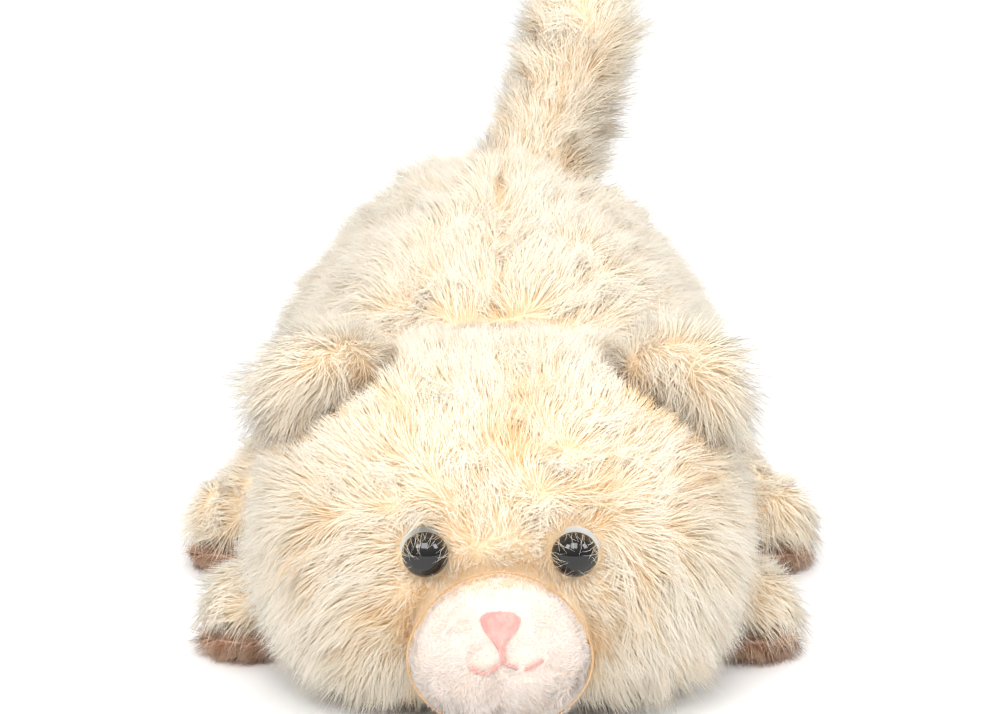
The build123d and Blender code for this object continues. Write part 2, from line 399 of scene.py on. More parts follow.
@dataclass(frozen=True)
class ClothFinish:
    """Cloth, nap or fibre mass seen as a surface: two colours in patches, flecks and a weave."""

    name: str
    light: Colour
    deep: Colour
    patch_scale: float = 60.0
    threads: float = 900.0
    weave_depth: float = 0.00015
    fleck_scale: float = 1800.0
    fleck_strength: float = 0.18
    roughness: float = 0.9
    sheen: float = 0.25

    def make(self, effects: Effects) -> bpy.types.Material:
        """Builds the material.

        Args:
            effects: The shared node groups.

        Returns:
            The material.
        """
        material = bpy.data.materials.new(self.name)
        material.use_nodes = True
        r = Recipe(material.node_tree)
        place = r.add("TexCoord").outputs["Object"]
        patches = r.add(
            "Group",
            {
                "Place": place,
                "Scale": self.patch_scale,
                "Light": (*self.light, 1.0),
                "Deep": (*self.deep, 1.0),
            },
            node_tree=effects.patches,
        )
        flecks = r.add(
            "Group",
            {"Place": place, "Scale": self.fleck_scale, "Strength": self.fleck_strength},
            node_tree=effects.flecks,
        )
        weave = r.add("Group", {"Place": place, "Threads": self.threads}, node_tree=effects.weave)
        shaded = r.add("HueSaturation", {"Color": patches.outputs[0], "Value": flecks.outputs["Shade"]})
        height = r.number("ADD", weave.outputs["Height"], r.number("MULTIPLY", flecks.outputs["Height"], 0.6))
        bump = r.add("Bump", {"Height": height, "Strength": 0.6, "Distance": self.weave_depth})
        rough = r.add("MapRange", {0: weave.outputs["Mask"], 3: self.roughness, 4: self.roughness - 0.12})
        shader = r.add(
            "BsdfPrincipled",
            {
                "Base Color": shaded.outputs[0],
                "Roughness": rough.outputs[0],
                "Normal": bump.outputs[0],
                "Sheen Weight": self.sheen,
                "Sheen Roughness": 0.5,
                "Specular IOR Level": 0.2,
            },
        )
        r.tree.links.new(shader.outputs[0], r.add("OutputMaterial").inputs[0])
        return material


@dataclass(frozen=True)
class GlossFinish:
    """Moulded plastic with faint moulding marks and handling haze."""

    name: str
    body: Colour
    haze: Colour
    roughness: float
    coat: float
    bump_depth: float = 0.00002

    def make(self, effects: Effects) -> bpy.types.Material:
        """Builds the material.

        Args:
            effects: The shared node groups.

        Returns:
            The material.
        """
        material = bpy.data.materials.new(self.name)
        material.use_nodes = True
        r = Recipe(material.node_tree)
        place = r.add("TexCoord").outputs["Object"]
        patches = r.add(
            "Group",
            {"Place": place, "Scale": 180.0, "Light": (*self.body, 1.0), "Deep": (*self.haze, 1.0)},
            node_tree=effects.patches,
        )
        flecks = r.add("Group", {"Place": place, "Scale": 900.0, "Strength": 0.2}, node_tree=effects.flecks)
        rough = r.number("MULTIPLY", flecks.outputs["Shade"], self.roughness)
        bump = r.add(
            "Bump", {"Height": flecks.outputs["Height"], "Strength": 0.05, "Distance": self.bump_depth}
        )
        shader = r.add(
            "BsdfPrincipled",
            {
                "Base Color": patches.outputs[0],
                "Roughness": rough,
                "Normal": bump.outputs[0],
                "Coat Weight": self.coat,
                "Coat Roughness": 0.03,
                "IOR": 1.49,
            },
        )
        r.tree.links.new(shader.outputs[0], r.add("OutputMaterial").inputs[0])
        return material


class Wardrobe:
    """Every finish of the cat, built once."""

    def __init__(self) -> None:
        """Builds the materials."""
        effects = Effects()
        warm_white = (1.04, 1.03, 1.02)
        # In each pile below, the root colour is painted shade deep in the pile and the warm colour is painted
        # shade in its creases and hollows.
        self.coat = PileFinish(
            "cream_long_pile",
            root=linear(250, 220, 178),
            middle=linear(254, 240, 216),
            tip=linear(255, 248, 234),
            warm=(0.95, 0.70, 0.42),
            pale=warm_white,
        ).make(effects)
        self.fuzz = PileFinish(
            "muzzle_velvet_pile",
            root=linear(246, 226, 212),
            middle=linear(252, 240, 230),
            tip=linear(255, 248, 242),
            warm=(0.93, 0.74, 0.52),
            pale=warm_white,
        ).make(effects)
        self.nap = PileFinish(
            "sole_nap",
            root=linear(186, 140, 112),
            middle=linear(216, 174, 144),
            tip=linear(234, 202, 176),
            warm=(0.85, 0.72, 0.62),
            pale=(1.1, 1.08, 1.06),
            sheen=0.2,
        ).make(effects)
        self.backing = ClothFinish(
            "cream_knit_backing", linear(252, 230, 196), linear(246, 214, 172)
        ).make(effects)
        self.velvet = ClothFinish(
            "muzzle_backing", linear(250, 236, 226), linear(244, 224, 210), fleck_scale=2600.0
        ).make(effects)
        self.suede = ClothFinish(
            "sole_suede_base",
            linear(214, 176, 150),
            linear(198, 156, 130),
            fleck_scale=2200.0,
            fleck_strength=0.3,
        ).make(effects)
        self.thread = ClothFinish(
            "coral_embroidery_thread",
            linear(247, 184, 174),
            linear(236, 160, 152),
            patch_scale=400.0,
            threads=4200.0,
            weave_depth=0.00008,
            roughness=0.6,
            sheen=0.5,
        ).make(effects)
        self.seam_thread = ClothFinish(
            "cream_seam_thread", linear(232, 190, 142), linear(214, 164, 112), threads=4200.0, roughness=0.75
        ).make(effects)
        self.cotton = ClothFinish(
            "unbleached_pouch_cotton", linear(236, 226, 204), linear(220, 206, 180), threads=1400.0
        ).make(effects)
        self.eye = GlossFinish(
            "black_eye_plastic", linear(8, 7, 7), linear(18, 15, 13), 0.05, 0.2
        ).make(effects)
        self.washer = GlossFinish(
            "white_washer_plastic", linear(232, 232, 228), linear(214, 214, 208), 0.4, 0.1
        ).make(effects)
        self.pellet = GlossFinish(
            "clear_plastic_pellets", linear(224, 228, 230), linear(200, 206, 210), 0.3, 0.3
        ).make(effects)


# --- Meshes ----------------------------------------------------------------------------------------------


def new_object(name: str, mesh: bpy.types.Mesh, material: bpy.types.Material) -> bpy.types.Object:
    """Puts a mesh into the scene.

    Args:
        name: The object's and the mesh's name.
        mesh: The mesh.
        material: Its finish.

    Returns:
        The object.
    """
    mesh.name = name
    mesh.materials.clear()
    mesh.materials.append(material)
    made = bpy.data.objects.new(name, mesh)
    bpy.context.scene.collection.objects.link(made)
    return made


def apply_modifiers(obj: bpy.types.Object) -> None:
    """Makes the object's modifiers part of its mesh."""
    graph = bpy.context.evaluated_depsgraph_get()
    mesh = bpy.data.meshes.new_from_object(obj.evaluated_get(graph))
    old = obj.data
    obj.modifiers.clear()
    obj.data = mesh
    bpy.data.meshes.remove(old)


def positions(mesh: bpy.types.Mesh) -> np.ndarray:
    """The mesh's points, one a row."""
    out = np.empty(len(mesh.vertices) * 3, np.float32)
    mesh.vertices.foreach_get("co", out)
    return out.reshape(-1, 3).astype(float)


def set_positions(mesh: bpy.types.Mesh, points: np.ndarray) -> None:
    """Moves the mesh's points."""
    mesh.vertices.foreach_set("co", points.astype(np.float32).ravel())
    mesh.update()


def normals_of(mesh: bpy.types.Mesh) -> np.ndarray:
    """The mesh's point normals, one a row."""
    out = np.empty(len(mesh.vertices) * 3, np.float32)
    mesh.vertex_normals.foreach_get("vector", out)
    return out.reshape(-1, 3).astype(float)


def relaxed(mesh: bpy.types.Mesh, rounds: int, pull: float = 0.5) -> None:
    """Evens out a mesh, each point towards the middle of its neighbours.

    Args:
        mesh: The mesh, changed in place.
        rounds: How many passes.
        pull: How far a point goes in one pass, from 0 to 1.
    """
    edges = np.empty(len(mesh.edges) * 2, np.int32)
    mesh.edges.foreach_get("vertices", edges)
    a, b = edges.reshape(-1, 2).T
    points = positions(mesh)
    count = np.bincount(np.concatenate([a, b]), minlength=len(points))[:, None]
    for _ in range(rounds):
        total = np.zeros_like(points)
        for axis in range(3):
            total[:, axis] = np.bincount(a, points[b, axis], len(points)) + np.bincount(
                b, points[a, axis], len(points)
            )
        points += pull * (total / np.maximum(count, 1) - points)
    set_positions(mesh, points)


@dataclass
class StuffedSkin:
    """A sewn skin swollen by its filling, made from the CAD nodes it stands for."""

    name: str
    nodes: list[str]
    body: str
    inset: float = 3.6 * MM
    voxel: float = 4.5 * MM
    puff: float = 1.8 * MM
    pressure: float = 4.0
    frames: int = 12
    slack: float = 1.15
    above_floor: float = 0.8 * MM
    fill: float = 0.8
    relax: int = 3

    def build(self, material: bpy.types.Material, dents: Callable | None = None) -> bpy.types.Object:
        """Builds the skin, swells it with a cloth simulation and hangs it on its body.

        Args:
            material: The backing's finish.
            dents: Given points and normals, how far each point is pulled in, in metres.

        Returns:
            The finished skin.
        """
        parts = bmesh.new()
        for node in self.nodes:
            parts.from_mesh(bpy.data.objects[node].data)
        mesh = bpy.data.meshes.new(self.name)
        parts.to_mesh(mesh)
        parts.free()
        skin = new_object(self.name, mesh, material)
        remesh = skin.modifiers.new("even_cloth", "REMESH")
        remesh.mode = "VOXEL"
        remesh.voxel_size = self.voxel
        apply_modifiers(skin)
        relaxed(skin.data, self.relax)
        shrink = self.inset + self.puff
        set_positions(skin.data, positions(skin.data) - normals_of(skin.data) * shrink)
        self._swell(skin)
        smooth = skin.modifiers.new("fine_cloth", "SUBSURF")
        smooth.levels = smooth.render_levels = 1
        apply_modifiers(skin)
        if dents is not None:
            points, normals = positions(skin.data), normals_of(skin.data)
            set_positions(skin.data, points - normals * dents(points, normals)[:, None])
        points = positions(skin.data)
        points[:, 2] = np.maximum(points[:, 2], self.above_floor)
        set_positions(skin.data, points)
        skin.data.materials.clear()
        skin.data.materials.append(material)
        skin.data.shade_smooth()
        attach(skin, self.body)
        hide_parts(*self.nodes)
        return skin

    def _swell(self, skin: bpy.types.Object) -> None:
        """Lets the filling press the cloth outwards, no further than a cap."""
        before = positions(skin.data)
        cloth = skin.modifiers.new("filling", "CLOTH")
        cloth.settings.quality = 4
        cloth.settings.use_pressure = True
        cloth.settings.uniform_pressure_force = self.pressure
        cloth.settings.effector_weights.gravity = 0.0
        cloth.settings.tension_stiffness = 12.0
        cloth.settings.bending_stiffness = 0.6
        scene = bpy.context.scene
        for step in range(1, self.frames + 1):
            scene.frame_set(step)
        apply_modifiers(skin)
        scene.frame_set(1)
        moved = positions(skin.data) - before
        length = np.linalg.norm(moved, axis=1, keepdims=True)
        cap = self.puff * self.slack
        set_positions(skin.data, before + moved * np.minimum(1.0, cap / np.maximum(length, 1e-9)))
        relaxed(skin.data, 1)


# --- Pile ------------------------------------------------------------------------------------------------


@dataclass
class Groom:
    """How the fibres rooted at some points stand: one row or number for each."""

    keep: np.ndarray
    length: np.ndarray
    lean: np.ndarray
    flow: np.ndarray
    # tint: each fibre's own tone, lowered by painted shade in creases and hollows
    tint: np.ndarray
    droop: np.ndarray


@dataclass
class Pile:
    """Pile fibres grown as real tapered strands on a skin."""

    per_mm2: float
    width: float
    seed: int
    tuft: float = 4.2 * MM
    gather: float = 0.55
    curl: float = 0.35
    segments: int = 2
    floor: float = 0.35 * MM

    def grow(
        self,
        name: str,
        skin: bpy.types.Object,
        material: bpy.types.Material,
        body: str,
        groom: Callable[[np.ndarray, np.ndarray], Groom],
    ) -> int:
        """Grows the pile and hangs it on a body.

        Args:
            name: What the pieces are called, before their number.
            skin: The skin it is rooted in.
            material: The fibre's finish.
            body: The CAD body it rides on.
            groom: Says how the fibres stand at given points and normals.

        Returns:
            How many fibres were made.
        """
        rng = np.random.default_rng(self.seed)
        roots, normals = self._roots(skin, rng)
        style = groom(roots, normals)
        kept = rng.random(len(roots)) < style.keep
        roots, normals = roots[kept], normals[kept]
        fields = [style.length, style.lean, style.flow, style.tint, style.droop]
        length, lean, flow, tint, droop = (f[kept] for f in fields)
        path = self._paths(roots, normals, length, lean, flow, droop, rng)
        tint = np.clip(tint + rng.normal(0.0, 0.13, len(tint)), 0.03, 0.97)
        thick = self.width * rng.uniform(0.75, 1.25, len(tint))
        count = max(1, math.ceil(len(tint) / FIBRES_PER_PIECE))
        order = np.argsort(roots[:, 0] + 0.6 * roots[:, 1], kind="stable")
        for number, chosen in enumerate(np.array_split(order, count), start=1):
            mesh = self._mesh(path[:, chosen], normals[chosen], thick[chosen], tint[chosen], rng)
            label = f"{name}_{number}" if count > 1 else name
            piece = new_object(label, mesh, material)
            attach(piece, body)
        return len(tint)

    def _roots(self, skin: bpy.types.Object, rng: np.random.Generator) -> tuple[np.ndarray, np.ndarray]:
        """Scatters roots evenly over the skin.

        Args:
            skin: The skin.
            rng: The source of chance.

        Returns:
            The roots and the skin's normals there.
        """
        mesh = skin.data
        mesh.calc_loop_triangles()
        corners = np.empty(len(mesh.loop_triangles) * 3, np.int32)
        mesh.loop_triangles.foreach_get("vertices", corners)
        corners = corners.reshape(-1, 3)
        points, normals = positions(mesh), normals_of(mesh)
        a, b, c = (points[corners[:, i]] for i in range(3))
        area = 0.5 * np.linalg.norm(np.cross(b - a, c - a), axis=1)
        count = int(area.sum() / MM**2 * self.per_mm2)
        total = np.cumsum(area)
        even = (np.arange(count) + rng.random(count)) / count * total[-1]
        picked = np.minimum(np.searchsorted(total, even), len(corners) - 1)
        u, v = rng.random((2, count, 1))
        flip = u + v > 1.0
        u, v = np.where(flip, 1.0 - u, u), np.where(flip, 1.0 - v, v)
        w = 1.0 - u - v
        spots = [corners[picked, i] for i in range(3)]
        root = w * points[spots[0]] + u * points[spots[1]] + v * points[spots[2]]
        normal = unit(w * normals[spots[0]] + u * normals[spots[1]] + v * normals[spots[2]])
        return root, normal

    def _paths(
        self,
        roots: np.ndarray,
        normals: np.ndarray,
        length: np.ndarray,
        lean: np.ndarray,
        flow: np.ndarray,
        droop: np.ndarray,
        rng: np.random.Generator,
    ) -> np.ndarray:
        """Lays out each fibre's line.

        Args:
            roots: Where the fibres start.
            normals: The skin's normals there.
            length: How long they are.
            lean: Their angle from the normal, in radians.
            flow: Which way they lean.
            droop: How far they bend down, as a share of their length.
            rng: The source of chance.

        Returns:
            Points as (ring along the fibre, fibre, 3).
        """
        count = len(roots)
        swirl = drift(roots, 13 * MM, self.seed + 1) * 0.45 + drift(roots, 30 * MM, self.seed + 2) * 0.35
        way = unit(tangential(unit(flow) + swirl + rng.normal(0.0, 0.22, (count, 3)), normals))
        unruly = rng.normal(0.0, 0.16, count) + 0.2 * drift(roots, 9 * MM, self.seed + 3)[:, 0]
        angle = np.clip(lean + unruly, 0.05, 1.35)
        start = unit(normals * np.cos(angle)[:, None] + way * np.sin(angle)[:, None])
        reach = length * rng.uniform(0.78, 1.12, count)
        bend = way * 0.18 + rng.normal(0.0, self.curl * 0.4, (count, 3))
        bend += drift(roots, 6 * MM, self.seed + 4) * self.curl * 0.5
        bend[:, 2] -= droop
        tips = roots + reach[:, None] * (start + bend * 0.5)
        pull = self._tuft_pull(roots, tips, rng)
        rings = []
        for t in np.linspace(0.0, 1.0, self.segments + 1):
            line = roots + reach[:, None] * (start * t + bend * 0.5 * t * t) + pull * t**1.6
            height = np.sum((line - roots) * normals, axis=1)
            least = 0.12 * reach * t - 0.3 * MM
            line = line + normals * np.maximum(least - height, 0.0)[:, None]
            line[:, 2] = np.maximum(line[:, 2], self.floor)
            rings.append(line)
        return np.array(rings)

    def _tuft_pull(self, roots: np.ndarray, tips: np.ndarray, rng: np.random.Generator) -> np.ndarray:
        """Draws the tips of neighbouring fibres together into tufts.

        Args:
            roots: Where the fibres start.
            tips: Where they would end.
            rng: The source of chance.

        Returns:
            How far each tip is moved.
        """
        pull = np.zeros_like(tips)
        layer = rng.integers(0, 3, len(roots))
        for number in range(3):
            here = np.flatnonzero(layer == number)
            turn, _ = np.linalg.qr(rng.normal(size=(3, 3)))
            size = self.tuft * (0.75 + 0.35 * number)
            warped = roots[here] + drift(roots[here], 11 * MM, self.seed + 20 + number) * size * 0.5
            cell = np.floor(warped @ turn / size).astype(np.int64)
            code = cell[:, 0] * 73856093 ^ cell[:, 1] * 19349663 ^ cell[:, 2] * 83492791
            _, tuft = np.unique(code, return_inverse=True)
            members = np.bincount(tuft)
            middle = np.stack([np.bincount(tuft, tips[here, k]) / members for k in range(3)], axis=1)
            hold = self.gather * rng.uniform(0.5, 1.15, (len(here), 1))
            pull[here] = (middle[tuft] - tips[here]) * hold
        return pull

    def _mesh(
        self,
        path: np.ndarray,
        normals: np.ndarray,
        thick: np.ndarray,
        tint: np.ndarray,
        rng: np.random.Generator,
    ) -> bpy.types.Mesh:
        """Builds three-sided tapered strands.

        Args:
            path: Points as (ring, fibre, 3).
            normals: The skin's normal at each fibre.
            thick: Each fibre's thickness.
            tint: Each fibre's tint, from 0 to 1: its own tone, with painted shade in creases and hollows
                pulling it towards 0.
            rng: The source of chance.

        Returns:
            The mesh.
        """
        rings, count = path.shape[0], path.shape[1]
        axis = unit(path[-1] - path[0])
        side = unit(np.cross(axis, normals + rng.normal(0.0, 0.3, (count, 3))))
        other = np.cross(axis, side)
        spin = rng.uniform(0.0, 2.0 * math.pi, count)
        points, shading, along = [], [], []
        for ring in range(rings - 1):
            t = ring / (rings - 1)
            radius = thick * 0.5 * (1.0 - t**2.0)
            for corner in range(3):
                turn = spin + corner * 2.0 * math.pi / 3.0
                out = side * np.cos(turn)[:, None] + other * np.sin(turn)[:, None]
                points.append(path[ring] + out * radius[:, None])
                shading.append(unit(normals * 1.2 + out * 0.4 + axis * 0.15))
                along.append(np.full(count, t))
        points.append(path[-1])
        shading.append(unit(normals * 1.2 + axis * 0.4))
        along.append(np.full(count, 1.0))
        stride = len(points)
        vertices = np.stack(points, axis=1).reshape(-1, 3)
        shade = np.stack(shading, axis=1).reshape(-1, 3)
        way = np.stack(along, axis=1).reshape(-1)
        pattern = []
        for ring in range(rings - 2):
            low, high = ring * 3, ring * 3 + 3
            for k in range(3):
                n = (k + 1) % 3
                pattern += [(low + k, low + n, high + n), (low + k, high + n, high + k)]
        last = (rings - 2) * 3
        pattern += [(last + k, last + (k + 1) % 3, stride - 1) for k in range(3)]
        faces = (np.arange(count)[:, None, None] * stride + np.array(pattern)[None]).reshape(-1)
        mesh = bpy.data.meshes.new("pile")
        mesh.vertices.add(len(vertices))
        mesh.vertices.foreach_set("co", vertices.astype(np.float32).ravel())
        mesh.loops.add(len(faces))
        mesh.loops.foreach_set("vertex_index", faces.astype(np.int32))
        mesh.polygons.add(len(faces) // 3)
        mesh.polygons.foreach_set("loop_start", np.arange(0, len(faces), 3, dtype=np.int32))
        mesh.polygons.foreach_set("use_smooth", np.ones(len(faces) // 3, bool))
        mesh.update(calc_edges=True)
        uv = np.stack([np.repeat(tint, stride), 0.04 + 0.92 * way], axis=1)[faces]
        layer = mesh.uv_layers.new(name="OFBake")
        layer.uv.foreach_set("vector", uv.astype(np.float32).ravel())
        mesh.normals_split_custom_set_from_vertices(shade.astype(np.float32))
        return mesh


# --- Thread ----------------------------------------------------------------------------------------------


@dataclass
class Stitching:
    """Threads laid over a surface, gathered into one mesh."""

    surface: BVHTree
    radius: float = 0.3 * MM
    sides: int = 6
    vertices: list = field(default_factory=list)
    faces: list = field(default_factory=list)

    def on_surface(self, x: float, z: float, rise: float) -> np.ndarray:
        """The point at x and z that stands so far in front of the surface.

        Args:
            x: Across the face.
            z: Up the face.
            rise: How far off the surface, in metres.

        Returns:
            The point.
        """
        hit, normal, _, _ = self.surface.ray_cast(Vector((x, -1.0, z)), Vector((0.0, 1.0, 0.0)))
        if hit is None:
            hit, normal, _, _ = self.surface.find_nearest(Vector((x, -0.12, z)))
        normal = normal if normal.y < 0 else -normal
        return np.array(hit) + np.array(normal) * rise

    def thread(self, line: np.ndarray, radius: float | None = None, ends: float = 0.55) -> None:
        """Adds one round thread.

        Args:
            line: The points it follows.
            radius: Its radius, or the stitching's own.
            ends: The share of the radius left at its two ends.
        """
        radius = radius or self.radius
        ahead = unit(np.gradient(line, axis=0))
        across = unit(np.cross(ahead, np.array([0.0, -1.0, 0.02])))
        out = np.cross(across, ahead)
        first = len(self.vertices)
        t = np.linspace(0.0, 1.0, len(line))
        size = radius * (ends + (1.0 - ends) * np.sin(math.pi * np.clip(t * 0.9 + 0.05, 0, 1)) ** 0.5)
        for ring in range(len(line)):
            for k in range(self.sides):
                turn = 2.0 * math.pi * k / self.sides
                offset = across[ring] * math.cos(turn) + out[ring] * math.sin(turn)
                self.vertices.append(line[ring] + offset * size[ring])
        for ring in range(len(line) - 1):
            for k in range(self.sides):
                n = (k + 1) % self.sides
                low = first + ring * self.sides
                self.faces.append((low + k, low + n, low + n + self.sides, low + k + self.sides))
        last = first + (len(line) - 1) * self.sides
        self.faces.append(tuple(first + k for k in reversed(range(self.sides))))
        self.faces.append(tuple(last + k for k in range(self.sides)))

    def plied(self, line: np.ndarray, turns: float, plies: int = 2) -> None:
        """Adds a thread of twisted plies.

        Args:
            line: The points it follows.
            turns: How many times the plies go round each other.
            plies: How many there are.
        """
        ahead = unit(np.gradient(line, axis=0))
        across = unit(np.cross(ahead, np.array([0.0, -1.0, 0.02])))
        out = np.cross(across, ahead)
        twist = np.linspace(0.0, turns * 2.0 * math.pi, len(line))
        for ply in range(plies):
            angle = twist + ply * 2.0 * math.pi / plies
            ring = across * np.cos(angle)[:, None] + out * np.sin(angle)[:, None]
            self.thread(line + ring * self.radius * 0.55, self.radius * 0.72)

    def finish(self, name: str, material: bpy.types.Material, body: str, *nodes: str) -> bpy.types.Object:
        """Makes the threads one piece on its body.

        Args:
            name: The piece's name.
            material: Its finish.
            body: The CAD body it rides on.
            *nodes: The CAD nodes it stands for.

        Returns:
            The piece.
        """
        mesh = bpy.data.meshes.new(name)
        mesh.from_pydata([tuple(v) for v in self.vertices], [], self.faces)
        mesh.validate()
        piece = new_object(name, mesh, material)
        piece.data.shade_smooth()
        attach(piece, body)
        if nodes:
            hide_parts(*nodes)
        return piece


# --- The cat's parts -------------------------------------------------------------------------------------


@dataclass
class Head:
    """The head: two side panels, a gusset and a chin panel over fibre, with its long pile."""

    finishes: Wardrobe
    pile_per_mm2: float = 2.3
    cheek_pile: float = 12.5 * MM
    crown_pile: float = 9.0 * MM
    eye_clear: float = 6.2 * MM

    def __post_init__(self) -> None:
        """Reads the places the pile is trimmed round."""
        self.nodes = ["head_gusset", "head_side_left", "head_side_right", "chin_panel", "head_stuffing"]
        self.centre = centre_of(*self.nodes)
        low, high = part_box("muzzle_cover")
        crown = np.array([0.0, 0.0, MUZZLE_CROWN])
        self.muzzle = (np.array(low) + np.array(high) + crown) / 2.0
        self.muzzle_half = (np.array(high) - np.array(low) + crown) / 2.0
        self.eyes = {side: centre_of(f"eye_{side.word}") for side in Side}
        self.ears = {side: centre_of(f"ear_{side.word}_outer", f"ear_{side.word}_inner") for side in Side}

    def build(self) -> None:
        """Builds the skin and its pile."""
        skin = StuffedSkin("head_skin", self.nodes, "head", inset=2.8 * MM).build(
            self.finishes.backing, self.dents
        )
        made = Pile(self.pile_per_mm2, 0.23 * MM, seed=11, gather=0.32, curl=0.5).grow(
            "head_pile", skin, self.finishes.coat, "head", self.groom
        )
        LOG.info("head: skin and %d fibres", made)

    def dents(self, points: np.ndarray, normals: np.ndarray) -> np.ndarray:
        """How far the skin is drawn in at the eyes."""
        dent = np.zeros(len(points))
        for side in Side:
            away = np.hypot(points[:, 0] - self.eyes[side][0], points[:, 2] - self.eyes[side][2])
            dent += 0.6 * MM * bump_at(away, 0.0, 7 * MM) * (points[:, 1] < self.centre[1])
        return dent

    def muzzle_ring(self, p: np.ndarray) -> np.ndarray:
        """1 on the muzzle's seam, less inside it and more outside."""
        across = (p[:, 0] - self.muzzle[0]) / self.muzzle_half[0]
        up = (p[:, 2] - self.muzzle[2]) / self.muzzle_half[2]
        return np.where(p[:, 1] < self.centre[1] - 15 * MM, np.hypot(across, up), 9.0)

    def groom(self, p: np.ndarray, n: np.ndarray) -> Groom:
        """How the head's pile stands.

        Args:
            p: Where the fibres start.
            n: The skin's normals there.

        Returns:
            The groom.
        """
        r = p - self.centre
        front, top, back = ramp(-n[:, 1], 0.1, 0.8), ramp(n[:, 2], 0.35, 0.85), ramp(n[:, 1], 0.2, 0.8)
        cheek = ramp(np.abs(r[:, 0]), 18 * MM, 42 * MM) * ramp(r[:, 2], 18 * MM, -6 * MM)
        ring = self.muzzle_ring(p)
        away = p - (self.muzzle + np.array([0.0, -6 * MM, 8 * MM]))
        flow = unit(away)
        flow = flow + top[:, None] * np.array([0.0, 0.7, 0.0]) + back[:, None] * np.array([0.0, 0.0, -0.6])
        flow = flow + cheek[:, None] * np.array([0.0, -0.15, -1.0])
        length = self.crown_pile + (self.cheek_pile - self.crown_pile) * cheek
        side = ramp(np.abs(n[:, 0]), 0.55, 0.95)
        length = length - 3.0 * MM * ramp(ring, 1.5, 1.0) - 2.0 * MM * back
        length = length + 2.5 * MM * side * ramp(r[:, 2], -10 * MM, 25 * MM)
        lean = 0.78 + 0.12 * cheek - 0.1 * top - 0.2 * side
        lean = lean * (1.0 - 0.7 * ramp(ring, 1.3, 1.0))
        keep = np.where(ring < 0.9, 0.0, 1.0)
        tint = 0.6 + 0.1 * drift(p, 26 * MM, 5)[:, 0] + 0.07 * drift(p, 9 * MM, 15)[:, 0]
        # painted shade along the muzzle's seam
        tint -= 0.26 * bump_at(ring, 0.97, 0.07)
        tint -= 0.08 * front * ramp(r[:, 2], 2 * MM, 30 * MM)
        for side in Side:
            eye = self.eyes[side]
            gap = np.hypot(p[:, 0] - eye[0], p[:, 2] - eye[2])
            near = front * ramp(gap, 13 * MM, 6 * MM)
            keep = np.where((gap < self.eye_clear) & (r[:, 1] < 0), 0.0, keep)
            length = length * (1.0 - 0.5 * near)
            outward = unit(np.stack([p[:, 0] - eye[0], np.zeros(len(p)), p[:, 2] - eye[2]], axis=1))
            flow = flow + 2.2 * near[:, None] * outward
            lean = lean + 0.25 * near
            ear = self.ears[side]
            hollow = ramp(np.linalg.norm((p - ear) / np.array([1.0, 1.1, 1.0]), axis=1), 25 * MM, 15 * MM)
            # painted shade under the ear: the pile there is tinted towards its warm crease colour
            tint -= 0.45 * hollow
            length = length * (1.0 - 0.45 * hollow)
        under = ramp(n[:, 2], -0.55, -0.9) * ramp(p[:, 2], 9 * MM, 3 * MM)
        length = length * (1.0 - 0.65 * under)
        lean = lean + 0.4 * under
        droop = 0.22 + 0.5 * cheek
        return Groom(keep, length, lean, flow, tint, droop)


